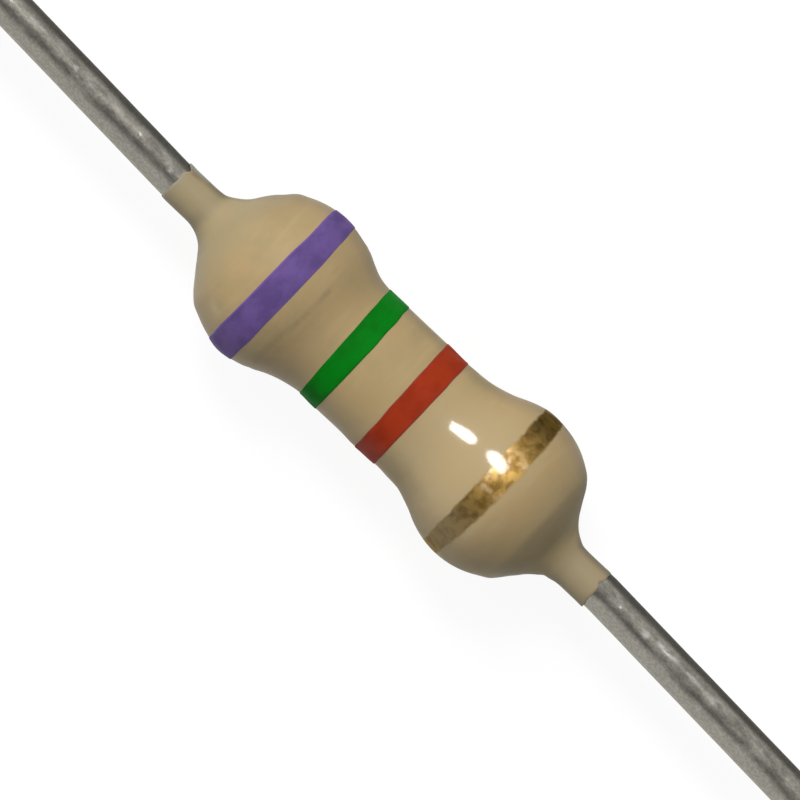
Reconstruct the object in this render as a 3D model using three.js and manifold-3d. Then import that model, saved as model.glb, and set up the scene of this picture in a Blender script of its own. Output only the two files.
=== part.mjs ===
// A quarter-watt carbon film resistor with axial wires.
// Millimetres. The body lies along X, and the origin is the middle of the ceramic rod.
// A ceramic rod carries the trimmed carbon film. A steel cap is pressed over each end,
// a wire is welded to each cap, and a lacquer shell with four painted bands covers it all.

import * as THREE from 'three';
import { mergeVertices } from 'three/addons/utils/BufferGeometryUtils.js';
import Module from 'manifold-3d';

const wasm = await Module();
wasm.setup();

// Every turned piece has this many flats, with one flat facing straight down.
const flats = 28;

// Room left between two pieces that sit on each other.
const seatGap = 0.01;

// Ceramic rod
const rodDiameter = 1.46;
const rodLength = 4.76;
const rodChamfer = 0.08;

// Carbon film and the helical groove that trims it
const filmThickness = 0.02;
const trimPitch = 0.5;
const trimWidth = 0.12;
const trimDepth = 0.03;
const trimMargin = 0.14;

// Pressed end caps
const capLength = 1.28;
const capWall = 0.16;
const capShoulder = 0.2;
const capLip = 0.04;

// Wires, with the collar that the weld leaves at the cap
const wireDiameter = 0.52;
const wireLength = 28;
const wireBevel = 0.04;
const weldRim = 0.04;
const weldFillet = 0.13;

// Each wire is welded a little off the cap's axis and is bent where it leaves the shell.
const wireCant = THREE.MathUtils.degToRad(2.85);
const bendRadius = 1.5;
const wireOffset = { left: 0.027, right: -0.085 };

// Lacquer shell: its thickness over what it covers, and the arcs of its outline
const coatOverFilm = 0.123;
const coatOverCap = 0.24;
const coatOverWire = 0.015;
const waistFillet = 1.33;
const bulgeInnerArc = 1.22;
const bulgeOuterArc = 1.14;
const neckFillet = 0.55;
const neckLength = 0.45;

// Painted bands
const paintThickness = 0.012;
const bands = {
  band_violet: { middle: -1.9, width: 0.4, color: 0x67539a, metalness: 0 },
  band_green: { middle: -0.636, width: 0.37, color: 0x0a7a1c, metalness: 0 },
  band_red: { middle: 0.395, width: 0.385, color: 0xa03418, metalness: 0 },
  band_gold: { middle: 1.885, width: 0.34, color: 0xa88550, metalness: 0.7 },
};

// Radii and places that follow from the sizes above
const rodRadius = rodDiameter / 2;
const filmBore = rodRadius + seatGap;
const filmRadius = filmBore + filmThickness;
const capBore = filmRadius + seatGap;
const capRadius = capBore + capWall;
const capFloor = rodLength / 2 + seatGap;
const capEnd = capFloor + capWall;
const capRim = capEnd - capLength;
const wireRadius = wireDiameter / 2;
const weldFace = capEnd + seatGap;
const weldRadius = wireRadius + weldFillet;
const weldEnd = weldFace + weldRim + weldFillet;

const waistRadius = filmRadius + seatGap + coatOverFilm;
const bulgeRadius = capRadius + seatGap + coatOverCap;
const neckRadius = wireRadius + seatGap + coatOverWire;

// Arc centres of the shell's outline: each arc meets the next without a corner.
const bulgeMiddle = (capRim + capEnd) / 2;
const bulgeInnerCentre = new THREE.Vector2(bulgeMiddle, bulgeRadius - bulgeInnerArc);
const bulgeOuterCentre = new THREE.Vector2(bulgeMiddle, bulgeRadius - bulgeOuterArc);
const waistCentre = besideArc(bulgeInnerCentre, bulgeInnerArc, waistRadius, waistFillet, -1);
const neckCentre = besideArc(bulgeOuterCentre, bulgeOuterArc, neckRadius, neckFillet, 1);
const neckEnd = neckCentre.x + neckLength;
const wireEnd = neckCentre.x + wireLength;

// Centre of the fillet that rests on a straight stretch of this radius and touches the arc
function besideArc(centre, arcRadius, straightRadius, filletRadius, side) {
  const rise = straightRadius + filletRadius - centre.y;
  const reach = Math.sqrt((arcRadius + filletRadius) ** 2 - rise ** 2);
  return new THREE.Vector2(centre.x + side * reach, straightRadius + filletRadius);
}

// One ring of a turned piece: its place along X, its radius and its shift along Y
function ring(along, radius, shift = 0) {
  return { along, radius, shift };
}

function arcRings(centre, radius, fromAngle, toAngle, steps) {
  const clockwise = toAngle < fromAngle;
  const arc = new THREE.ArcCurve(centre.x, centre.y, radius, fromAngle, toAngle, clockwise);
  return arc.getPoints(steps).map((point) => ring(point.x, point.y));
}

// The same rings on the left half
function mirrored(rings) {
  return rings.map(({ along, radius, shift }) => ring(-along, radius, shift)).reverse();
}

// Turns an outline about X. It starts and ends on the axis, or closes on itself.
function turned(rings) {
  const outline = rings.map(({ along, radius }) => new THREE.Vector2(radius, along));
  const geometry = new THREE.LatheGeometry(outline, flats, Math.PI / flats);
  geometry.rotateZ(-Math.PI / 2);
  const position = geometry.getAttribute('position');
  for (let i = 0; i < position.count; i += 1) {
    position.setY(i, position.getY(i) + rings[i % rings.length].shift);
  }
  geometry.computeVertexNormals();
  return geometry;
}

function closedLoop(rings) {
  return [...rings, rings[0]];
}

function solidOf(geometry) {
  const bare = geometry.clone();
  bare.deleteAttribute('normal');
  bare.deleteAttribute('uv');
  const merged = mergeVertices(bare);
  return new wasm.Manifold(new wasm.Mesh({
    numProp: 3,
    vertProperties: new Float32Array(merged.getAttribute('position').array),
    triVerts: new Uint32Array(merged.index.array),
  }));
}

function geometryOf(solid) {
  const { vertProperties, triVerts } = solid.getMesh();
  const geometry = new THREE.BufferGeometry();
  geometry.setAttribute('position', new THREE.BufferAttribute(vertProperties, 3));
  geometry.setIndex(new THREE.BufferAttribute(triVerts, 1));
  geometry.computeVertexNormals();
  return geometry;
}

// A straight bar wrapped round the rod as a helix, which cuts through the film into the rod
function trimCutter() {
  const span = 2 * (capRim - trimMargin) - trimWidth;
  const turns = Math.floor((span / trimPitch) * flats) / flats;
  const floor = rodRadius - trimDepth;
  const depth = 2 * (filmRadius - floor);
  const bar = new THREE.BoxGeometry(turns * 2 * Math.PI, trimWidth, depth, turns * flats, 1, 1);
  const firstAngle = turns * Math.PI;
  const position = bar.getAttribute('position');
  for (let i = 0; i < position.count; i += 1) {
    const angle = position.getX(i) + firstAngle;
    const along = (position.getX(i) / (2 * Math.PI)) * trimPitch + position.getY(i);
    const radius = floor + depth / 2 + position.getZ(i);
    position.setXYZ(i, along, -radius * Math.sin(angle), radius * Math.cos(angle));
  }
  return solidOf(bar);
}

function ceramicRod(cutter) {
  const half = rodLength / 2;
  const end = [
    ring(half - rodChamfer, rodRadius),
    ring(half, rodRadius - rodChamfer),
    ring(half, 0),
  ];
  const blank = solidOf(turned([...mirrored(end), ...end]));
  return geometryOf(blank.subtract(cutter));
}

function carbonFilm(cutter) {
  const half = rodLength / 2 - rodChamfer;
  const sleeve = closedLoop([
    ring(-half, filmBore),
    ring(-half, filmRadius),
    ring(half, filmRadius),
    ring(half, filmBore),
  ]);
  return geometryOf(solidOf(turned(sleeve)).subtract(cutter));
}

// A drawn cup: its inner corner is as wide as the rod's chamfer, so the rod sits on its floor.
function endCap() {
  const innerCorner = new THREE.Vector2(capFloor - rodChamfer, capBore - rodChamfer);
  const shoulder = new THREE.Vector2(capEnd - capShoulder, capRadius - capShoulder);
  return [
    ring(capFloor, 0),
    ...arcRings(innerCorner, rodChamfer, 0, Math.PI / 2, 3),
    ring(capRim + capLip, capBore),
    ring(capRim, capBore + capLip),
    ring(capRim, capRadius - capLip),
    ring(capRim + capLip, capRadius),
    ...arcRings(shoulder, capShoulder, Math.PI / 2, 0, 4),
    ring(capEnd, 0),
  ];
}

// How far the wire's centre lies from the body's axis, at a distance from the body's middle
function wireShift(side, distance) {
  const past = Math.max(distance - neckEnd, 0);
  const bent = Math.min(past, bendRadius * Math.tan(wireCant));
  const bow = bent ** 2 / (2 * bendRadius) + (past - bent) * Math.tan(wireCant);
  return wireOffset[side] + (side === 'left' ? bow : -bow);
}

function wire(side) {
  const collar = new THREE.Vector2(weldEnd, weldRadius);
  const bend = [0, 1, 2, 3].map((step) => neckEnd + (step / 3) * bendRadius * Math.tan(wireCant));
  const rings = [
    ring(weldFace, 0),
    ring(weldFace, weldRadius),
    ...arcRings(collar, weldFillet, Math.PI, 1.5 * Math.PI, 3),
    ...bend.map((along) => ring(along, wireRadius)),
    ring(wireEnd - wireBevel, wireRadius),
    ring(wireEnd, wireRadius - wireBevel),
    ring(wireEnd, 0),
  ];
  return rings.map(({ along, radius }) => ring(along, radius, wireShift(side, along)));
}

// The shell's outside, from the waist to the end of the neck. The nose drifts over to the wire.
function skinHalf(side) {
  const toWaist = waistCentre.clone().sub(bulgeInnerCentre).angle();
  const toNeck = neckCentre.clone().sub(bulgeOuterCentre).angle();
  const body = [
    ...arcRings(waistCentre, waistFillet, -Math.PI / 2, toWaist - Math.PI, 5),
    ...arcRings(bulgeInnerCentre, bulgeInnerArc, toWaist, Math.PI / 2, 5).slice(1),
  ];
  const nose = [
    ...arcRings(bulgeOuterCentre, bulgeOuterArc, Math.PI / 2, toNeck, 8).slice(1),
    ...arcRings(neckCentre, neckFillet, toNeck + Math.PI, 1.5 * Math.PI, 5).slice(1),
    ring(neckEnd, neckRadius),
  ];
  const drift = (radius) => 1 - THREE.MathUtils.smoothstep(radius, neckRadius, capRadius);
  return [
    ...body,
    ...nose.map(({ along, radius }) => ring(along, radius, wireOffset[side] * drift(radius))),
  ];
}

// The shell's inside, from the film to the end of the neck: it follows what it covers.
function cavityHalf(side) {
  const shoulder = new THREE.Vector2(capEnd - capShoulder, capRadius - capShoulder);
  const collar = new THREE.Vector2(weldEnd, weldRadius);
  const roundWeld = [
    ring(weldFace, weldRadius + seatGap),
    ring(weldFace + weldRim + seatGap, weldRadius + seatGap),
    ...arcRings(collar, weldFillet - seatGap, Math.PI, 1.5 * Math.PI, 3),
    ring(neckEnd, wireRadius + seatGap),
  ];
  return [
    ring(capRim - seatGap, filmRadius + seatGap),
    ring(capRim - seatGap, capRadius - capLip),
    ring(capRim + capLip, capRadius + seatGap),
    ...arcRings(shoulder, capShoulder + seatGap, Math.PI / 2, 0, 4),
    ...roundWeld.map(({ along, radius }) => ring(along, radius, wireOffset[side])),
  ];
}

function bothHalves(half) {
  return [...mirrored(half('left')), ...half('right')];
}

function coating() {
  return closedLoop([...bothHalves(skinHalf), ...bothHalves(cavityHalf).reverse()]);
}

// The shell's outside at any place along it
function skinAt(skin, along) {
  const next = skin.findIndex((point) => point.along > along);
  const [before, after] = [skin[next - 1], skin[next]];
  const share = (along - before.along) / (after.along - before.along);
  return ring(
    along,
    THREE.MathUtils.lerp(before.radius, after.radius, share),
    THREE.MathUtils.lerp(before.shift, after.shift, share),
  );
}

// A painted band is a thin hoop that follows the shell under it.
function paintedBand({ middle, width }) {
  const skin = bothHalves(skinHalf);
  const from = middle - width / 2;
  const to = middle + width / 2;
  const between = skin.filter(({ along }) => along > from && along < to);
  const under = [skinAt(skin, from), ...between, skinAt(skin, to)];
  const raised = (height) => under.map((point) => ring(point.along, point.radius + height, point.shift));
  return closedLoop([...raised(seatGap + paintThickness), ...raised(seatGap).reverse()]);
}

const resistor = new THREE.Group();
resistor.name = 'resistor';

function addPiece(name, geometry, look) {
  const mesh = new THREE.Mesh(geometry, new THREE.MeshStandardMaterial(look));
  mesh.name = name;
  resistor.add(mesh);
}

const cutter = trimCutter();
addPiece('ceramic_rod', ceramicRod(cutter), { color: 0xe8e4d8, roughness: 0.7, metalness: 0 });
addPiece('carbon_film', carbonFilm(cutter), { color: 0x2a2724, roughness: 0.55, metalness: 0.2 });

const steel = { color: 0xb4b1a8, roughness: 0.35, metalness: 1 };
addPiece('end_cap_left', turned(mirrored(endCap())), steel);
addPiece('end_cap_right', turned(endCap()), steel);

const tinned = { color: 0x9a978e, roughness: 0.4, metalness: 1 };
addPiece('lead_wire_left', turned(mirrored(wire('left'))), tinned);
addPiece('lead_wire_right', turned(wire('right')), tinned);

addPiece('coating', turned(coating()), { color: 0xb29b71, roughness: 0.35, metalness: 0 });
for (const [name, band] of Object.entries(bands)) {
  const { color, metalness } = band;
  addPiece(name, turned(paintedBand(band)), { color, roughness: 0.4, metalness });
}

export default resistor;
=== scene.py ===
import math
import random

import bpy
import numpy as np
from mathutils import Matrix, Vector


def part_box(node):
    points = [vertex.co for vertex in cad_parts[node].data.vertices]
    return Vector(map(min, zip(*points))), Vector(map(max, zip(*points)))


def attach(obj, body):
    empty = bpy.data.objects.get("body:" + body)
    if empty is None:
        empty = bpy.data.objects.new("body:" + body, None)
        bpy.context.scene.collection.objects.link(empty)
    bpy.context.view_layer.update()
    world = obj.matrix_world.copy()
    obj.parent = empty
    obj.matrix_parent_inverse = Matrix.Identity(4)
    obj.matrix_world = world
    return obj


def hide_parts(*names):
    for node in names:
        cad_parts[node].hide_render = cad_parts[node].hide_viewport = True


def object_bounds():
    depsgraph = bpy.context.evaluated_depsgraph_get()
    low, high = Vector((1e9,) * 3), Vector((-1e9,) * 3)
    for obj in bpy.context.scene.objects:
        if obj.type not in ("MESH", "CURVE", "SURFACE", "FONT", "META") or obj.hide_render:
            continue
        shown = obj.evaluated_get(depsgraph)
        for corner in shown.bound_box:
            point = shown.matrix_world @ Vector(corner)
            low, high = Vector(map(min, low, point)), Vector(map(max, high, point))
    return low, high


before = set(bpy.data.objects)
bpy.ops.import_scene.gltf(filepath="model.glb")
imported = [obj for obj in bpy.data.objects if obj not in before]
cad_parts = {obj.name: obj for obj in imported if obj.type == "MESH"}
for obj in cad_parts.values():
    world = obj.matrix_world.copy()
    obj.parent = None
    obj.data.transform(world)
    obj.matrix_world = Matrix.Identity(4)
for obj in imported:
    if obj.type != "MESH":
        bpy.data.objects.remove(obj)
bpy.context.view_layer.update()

mm = 0.001
sides = {"left": -1, "right": 1}  # the way each half points along X
solidFlats = 28
flatShare = math.cos(math.pi / solidFlats)  # a solid's flats lie this much inside its round size


# outline of the lacquer body

coat = {
    "waist": 0.897,
    "around": 176,     # points in one ring
    "lump": 0.0045,    # how uneven the dipped lacquer is
    "lumpSeed": 11,
    "calm": {"radius": 0.3, "over": 0.5, "least": 0.15},  # the thin neck is the most even
    "room": 0.012,     # between the lacquer's inside and what it covers
    "snug": 0.003,     # the same, over the wire
    # the waist sits this much to the +Y side of a straight line, out to this place
    "bow": {"shift": 0.013, "pace": 0.8, "stop": 1.96},
    "nose": (0.93, 0.285),  # between these radii the nose drifts over to the wire
    # the rim of each neck: where its unevenness starts, and how it lifts and draws in
    "rim": {"reach": 0.3, "lipSpread": 17, "drawnIn": 0.45, "settling": 0.5,
            "pace": 4, "notchPace": 1.4, "drawnPace": 10, "roll": (0.004, 0.006, 0.002)},
    "fray": {"height": 0.008, "seed": 31, "waves": 9},
    # the lacquer sinks a little along the left cap's rim, and the line bends on the -Y side
    "groove": {"place": -1.4, "bend": 0.085, "depth": 0.005, "reach": 0.045},
    "left": {
        "crest": 1.9, "bulge": 1.188, "innerArc": 1.086, "outerArc": 1.17,
        "waistFillet": 1.275, "neckFillet": 0.562,
        "neck": 0.288, "shortNeck": 0.012, "neckShift": -0.006,
        "lipAngle": 76, "lipReach": 0.032, "lipLift": 0.01,
        "notchAngle": 51, "notch": 0.06, "notchSpread": 15,
    },
    "right": {
        "crest": 1.952, "bulge": 1.185, "innerArc": 1.28, "outerArc": 1.122,
        "waistFillet": 1.39, "neckFillet": 0.54,
        "neck": 0.288, "shortNeck": 0.065, "neckShift": -0.012,
        "lipAngle": -80, "lipReach": 0.025, "lipLift": 0.012,
        "notchAngle": 20, "notch": 0.03, "notchSpread": 7,
    },
    # sags and hollows: place along, angle from the top, height, reach along, spread in degrees
    "sags": [
        (-2.97, -90, 0.02, 0.075, 50), (-2.86, -90, -0.012, 0.09, 50), (-2.86, 90, -0.012, 0.12, 50),
        (-2.57, 90, 0.018, 0.09, 60), (-2.57, -90, 0.018, 0.09, 60), (-1.38, 90, 0.028, 0.12, 50),
        (-1.5, -90, -0.01, 0.25, 45), (2.89, 90, -0.04, 0.08, 50), (2.87, -90, -0.018, 0.08, 50),
        (2.68, 0, 0.012, 0.06, 120), (1.15, 90, 0.008, 0.2, 50), (1.4, 12, -0.034, 0.45, 40),
        (1.24, 12, 0.003, 0.2, 40), (1.62, 12, -0.002, 0.2, 40), (1.42, 12, -0.004, 0.12, 40),
        (-0.77, -90, -0.012, 0.15, 50),
        (1.0, -90, -0.012, 0.12, 50), (-1.22, 90, 0.022, 0.14, 50), (0.5, 90, -0.014, 0.2, 50),
        (1.75, 90, 0.014, 0.22, 50), (-1.97, -90, 0.012, 0.15, 50), (-2.8, -90, -0.014, 0.09, 50),
        (-2.7, 90, -0.012, 0.07, 50), (2.68, -90, 0.014, 0.1, 50), (3.17, -90, -0.018, 0.05, 50),
        (-3.24, 90, -0.012, 0.08, 50), (0.17, -90, 0.011, 0.13, 50), (0.63, -90, -0.011, 0.12, 50),
        (3.28, 90, -0.009, 0.06, 50),
    ],
}

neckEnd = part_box("coating")[1].x / mm


def arcPoints(centre, radius, start, stop, steps):
    turn = np.linspace(start, stop, steps)
    return np.column_stack([centre[0] + radius * np.cos(turn), centre[1] + radius * np.sin(turn)])


def besideArc(centre, radius, straight, fillet, way):
    # centre of the fillet that rests on a straight stretch and touches the arc
    rise = straight + fillet - centre[1]
    reach = math.sqrt((radius + fillet) ** 2 - rise ** 2)
    return centre[0] + way * reach, straight + fillet


def halfOutline(side):
    # from the middle of the waist to the end of the neck: distance along, radius
    shape = coat[side]
    inner = (shape["crest"], shape["bulge"] - shape["innerArc"])
    outer = (shape["crest"], shape["bulge"] - shape["outerArc"])
    waist = besideArc(inner, shape["innerArc"], coat["waist"], shape["waistFillet"], -1)
    neck = besideArc(outer, shape["outerArc"], shape["neck"], shape["neckFillet"], 1)
    rim = neckEnd - shape["shortNeck"]
    toWaist = math.atan2(waist[1] - inner[1], waist[0] - inner[0])
    toNeck = math.atan2(neck[1] - outer[1], neck[0] - outer[0])
    straight = np.linspace(0, waist[0], 12)[:-1]
    throat = np.linspace(neck[0], rim, 22)[1:]
    return np.vstack([
        np.column_stack([straight, np.full(len(straight), coat["waist"])]),
        arcPoints(waist, shape["waistFillet"], -math.pi / 2, toWaist - math.pi, 26),
        arcPoints(inner, shape["innerArc"], toWaist, math.pi / 2, 26)[1:],
        arcPoints(outer, shape["outerArc"], math.pi / 2, toNeck, 36)[1:],
        arcPoints(neck, shape["neckFillet"], toNeck + math.pi, 1.5 * math.pi, 26)[1:],
        np.column_stack([throat, np.full(len(throat), shape["neck"])]),
    ])


outline = np.vstack([halfOutline("left")[::-1] * (-1, 1), halfOutline("right")[1:]])


def makeWaves(seed, count, shortest, longest, mostRound):
    # slow waves that run along and around a piece, each with its own start
    draw = random.Random(seed)
    waves = []
    for _ in range(count):
        length = draw.uniform(shortest, longest)
        rounds = draw.randint(0, mostRound)
        start = draw.uniform(0, 6.283)
        waves.append((2 * math.pi / length, rounds, start, length / longest))
    return waves


def waveHeight(waves, along, turn):
    total = 0
    for pace, rounds, start, weight in waves:
        total = total + weight * np.sin(pace * along + rounds * turn + start)
    return total / math.sqrt(len(waves) / 2)


lumps = makeWaves(coat["lumpSeed"], 18, 0.9, 4.2, 4)


def hump(value, middle, reach):
    return np.exp(-((value - middle) / reach) ** 2)


def turnFrom(turn, degrees):
    # how far a turn is from an angle, in degrees either way
    return np.degrees(np.angle(np.exp(1j * (turn - math.radians(degrees)))))


def coatRadius(along, turn):
    plain = np.interp(along, outline[:, 0], outline[:, 1])
    even = coat["calm"]
    calm = np.clip((plain - even["radius"]) / even["over"], even["least"], 1)
    radius = plain + coat["lump"] * calm * waveHeight(lumps, along, turn)
    groove = coat["groove"]
    place = groove["place"] + groove["bend"] * np.minimum(np.sin(turn), 0)
    radius = radius - groove["depth"] * hump(along, place, groove["reach"])
    for place, angle, height, reach, spread in coat["sags"]:
        radius = radius + height * hump(along, place, reach) * hump(turnFrom(turn, angle), 0, spread)
    return radius


# where the wires run

wire = {
    "radius": 0.271,
    "solidRadius": 0.26,
    "drift": 0.0075,   # both wires sit this much to the +Y side of their solids
    "around": 64,
    "bevel": 0.035,
    "bendRadius": 1.5,
    "offset": {"left": 0.027, "right": -0.085},  # the weld's distance from the cap's axis
    "weldRadius": 0.38,
    "weldFillet": 0.12,
    "weldRim": 0.04,
    "weldRings": (0.1, 0.3),   # radii of the rings that close the weld's face
    "endRings": (0.5, 0.15),   # the same at the cut end, as shares of the wire's radius
    "fine": (0.3, 12.5, 0.05),  # rings lie this close from past the weld out to here
    "farRings": 90,
    "dent": 0.0016,
    "dentStart": 3.7,
    "dentSeed": 5,
}


def wireEnd(side):
    # how far out the wire's solid ends, and the slope that takes it there from the neck
    low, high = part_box("lead_wire_" + side)
    distance = max(-low.x, high.x) / mm
    outerEdge = (high.y if side == "left" else -low.y) / mm
    rise = outerEdge - wire["solidRadius"] * flatShare + sides[side] * wire["offset"][side]
    past = distance - neckEnd
    slope = (past - math.sqrt(past ** 2 - 2 * wire["bendRadius"] * rise)) / wire["bendRadius"]
    return distance, slope


wireEnds = {side: wireEnd(side) for side in sides}


def wireShift(side, distance):
    slope = wireEnds[side][1]
    past = np.maximum(distance - neckEnd, 0)
    bent = np.minimum(past, wire["bendRadius"] * slope)
    bow = bent ** 2 / (2 * wire["bendRadius"]) + (past - bent) * slope
    return wire["offset"][side] + wire["drift"] - sides[side] * bow


def noseShift(along, radius):
    # the nose of the lacquer drifts over to the wire
    start, stop = coat["nose"]
    share = np.clip((start - radius) / (start - stop), 0, 1)
    share = share * share * (3 - 2 * share)
    neckShift = np.where(along < 0, coat["left"]["neckShift"], coat["right"]["neckShift"])
    bend = coat["bow"]
    bow = bend["shift"] * np.clip(np.cos(along * bend["pace"]), 0, 1) ** 2 * (np.abs(along) < bend["stop"])
    offset = np.where(along < 0, wire["offset"]["left"], wire["offset"]["right"])
    return bow + share * (wire["drift"] + offset + neckShift)


# mesh making

def ringOf(along, radius, turn, shift):
    # the point of each turn in millimetres, before and after the shift
    along, radius, shift = (np.broadcast_to(value, turn.shape) for value in (along, radius, shift))
    place = np.column_stack([along, radius * np.sin(turn), radius * np.cos(turn)])
    return place, place + np.column_stack([0 * turn, shift, 0 * turn])


def skinOver(name, rings, loop, marks=None, creases=()):
    # rings of equal count become a skin: a loop closes on itself, otherwise both ends are capped
    count = len(rings[0][0])
    places = np.vstack([place for place, _ in rings])
    points = np.vstack([point for _, point in rings])
    faces = []
    for row in range(len(rings) if loop else len(rings) - 1):
        here, there = row * count, (row + 1) % len(rings) * count
        for i in range(count):
            j = (i + 1) % count
            faces.append((here + i, here + j, there + j, there + i))
    if not loop:
        for row, first in ((0, True), (len(rings) - 1, False)):
            hub = len(points)
            points = np.vstack([points, points[row * count:(row + 1) * count].mean(0)])
            places = np.vstack([places, places[row * count:(row + 1) * count].mean(0)])
            for i in range(count):
                a, b = row * count + i, row * count + (i + 1) % count
                faces.append((hub, b, a) if first else (hub, a, b))
    mesh = bpy.data.meshes.new(name)
    mesh.from_pydata((points * mm).tolist(), [], faces)
    mesh.polygons.foreach_set("use_smooth", [True] * len(mesh.polygons))
    layer = mesh.attributes.new("straightPlace", "FLOAT_VECTOR", "POINT")
    layer.data.foreach_set("vector", places.astype(np.float32).ravel())
    for mark, values in (marks or {}).items():
        layer = mesh.attributes.new(mark, "FLOAT", "POINT")
        layer.data.foreach_set("value", np.asarray(values, np.float32))
    if creases:
        ends = np.empty(2 * len(mesh.edges), np.int32)
        mesh.edges.foreach_get("vertices", ends)
        rows = ends.reshape(-1, 2) // count
        sharp = (rows[:, 0] == rows[:, 1]) & np.isin(rows[:, 0], creases)
        mesh.attributes.new("sharp_edge", "BOOLEAN", "EDGE").data.foreach_set("value", sharp)
    mesh.update()
    piece = bpy.data.objects.new(name, mesh)
    bpy.context.scene.collection.objects.link(piece)
    return piece


def settle(piece, material, node):
    piece.data.materials.append(material)
    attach(piece, "root")
    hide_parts(node)


# shader groups

number, vector, colour = "NodeSocketFloat", "NodeSocketVector", "NodeSocketColor"


def plug(tree, value, socket):
    if isinstance(value, bpy.types.NodeSocket):
        tree.links.new(value, socket)
    else:
        socket.default_value = value


def addNode(tree, kind, values=None, **settings):
    made = tree.nodes.new(kind)
    for key, value in settings.items():
        setattr(made, key, value)
    for socket, value in (values or {}).items():
        plug(tree, value, made.inputs[socket])
    return made


def reckon(tree, operation, first, second=0.0, third=0.5):
    values = {0: first, 1: second, 2: third}
    return addNode(tree, "ShaderNodeMath", values, operation=operation).outputs[0]


def mixTones(tree, share, first, second, blend="MIX"):
    values = {0: share, 6: first, 7: second}
    return addNode(tree, "ShaderNodeMix", values, data_type="RGBA", blend_type=blend).outputs[2]


def rampOf(tree, share, levels, warmth):
    # share runs from 0 to 1; levels are (place from -1 to 1, level) pairs
    made = addNode(tree, "ShaderNodeValToRGB", {0: share})
    elements = made.color_ramp.elements
    while len(elements) < len(levels):
        elements.new(0.5)
    for element, (at, level) in zip(elements, levels):
        element.position = (at + 1) / 2
        element.color = [level * warm for warm in warmth] + [1]
    return made.outputs[0]


def stepBetween(tree, value, low, high, start=0.0, stop=1.0):
    values = {"Value": value, "From Min": low, "From Max": high, "To Min": start, "To Max": stop}
    return addNode(tree, "ShaderNodeMapRange", values, interpolation_type="SMOOTHSTEP").outputs[0]


def nearTo(tree, value, middle, reach):
    # 1 at the middle, fading to 0 at this reach either way
    distance = reckon(tree, "ABSOLUTE", reckon(tree, "SUBTRACT", value, middle))
    return stepBetween(tree, distance, reach, 0.0)


def stretchedBy(tree, place, stretch):
    return addNode(tree, "ShaderNodeVectorMath", {0: place, 1: stretch}, operation="MULTIPLY").outputs[0]


def product(tree, first, *others):
    for other in others:
        first = reckon(tree, "MULTIPLY", first, other)
    return first


def startGroup(name, inputs, outputs):
    tree = bpy.data.node_groups.new(name, "ShaderNodeTree")
    for socket, (kind, value) in inputs.items():
        made = tree.interface.new_socket(name=socket, in_out="INPUT", socket_type=kind)
        if value is not None:
            made.default_value = value
    for socket, kind in outputs.items():
        tree.interface.new_socket(name=socket, in_out="OUTPUT", socket_type=kind)
    return tree, tree.nodes.new("NodeGroupInput").outputs, tree.nodes.new("NodeGroupOutput").inputs


def placeGroup(tree, group, values):
    made = tree.nodes.new("ShaderNodeGroup")
    made.node_tree = group
    for socket, value in values.items():
        plug(tree, value, made.inputs[socket])
    return made.outputs


def buildCloudyTone():
    # slow change from one tone to another, stretched along or around the piece
    tree, given, result = startGroup("cloudyTone", {
        "Place": (vector, None), "Stretch": (vector, (1, 1, 1)), "Scale": (number, 2), "Detail": (number, 4),
        "Low": (number, 0.4), "High": (number, 0.65), "Tone": (colour, None), "Cloud": (colour, None),
    }, {"Colour": colour, "Mask": number})
    stretched = stretchedBy(tree, given["Place"], given["Stretch"])
    noise = addNode(tree, "ShaderNodeTexNoise", {
        "Vector": stretched, "Scale": given["Scale"], "Detail": given["Detail"]})
    mask = stepBetween(tree, noise.outputs[0], given["Low"], given["High"])
    plug(tree, mixTones(tree, mask, given["Tone"], given["Cloud"]), result["Colour"])
    plug(tree, mask, result["Mask"])
    return tree


def buildFlecks():
    # sparse round specks: only some cells carry one, and its size varies
    tree, given, result = startGroup("scatteredFlecks", {
        "Place": (vector, None), "Stretch": (vector, (1, 1, 1)), "Scale": (number, 8),
        "Share": (number, 0.1), "Size": (number, 0.3),
    }, {"Mask": number, "Draw": number})
    stretched = stretchedBy(tree, given["Place"], given["Stretch"])
    cells = addNode(tree, "ShaderNodeTexVoronoi", {"Vector": stretched, "Scale": given["Scale"]})
    draw = addNode(tree, "ShaderNodeSeparateColor", {0: cells.outputs["Color"]})
    chosen = reckon(tree, "LESS_THAN", draw.outputs[0], given["Share"])
    size = reckon(tree, "MULTIPLY", given["Size"], reckon(tree, "ADD", draw.outputs[1], 0.4))
    spot = stepBetween(tree, cells.outputs["Distance"], size, reckon(tree, "MULTIPLY", size, 0.4))
    plug(tree, reckon(tree, "MULTIPLY", chosen, spot), result["Mask"])
    plug(tree, draw.outputs[2], result["Draw"])
    return tree


def buildRoundPlace():
    # where a point lies around the piece: 1 at its +Y side for Side, 1 at its top for Top
    tree, given, result = startGroup("roundPlace", {"Place": (vector, None)}, {
        "Along": number, "Side": number, "Top": number})
    split = addNode(tree, "ShaderNodeSeparateXYZ", {0: given["Place"]})
    along, side, top = split.outputs
    squares = [reckon(tree, "MULTIPLY", way, way) for way in (side, top)]
    radius = reckon(tree, "SQRT", reckon(tree, "ADD", *squares))
    plug(tree, along, result["Along"])
    plug(tree, reckon(tree, "DIVIDE", side, radius), result["Side"])
    plug(tree, reckon(tree, "DIVIDE", top, radius), result["Top"])
    return tree


cloudyTone = buildCloudyTone()
scatteredFlecks = buildFlecks()
roundPlace = buildRoundPlace()


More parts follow.
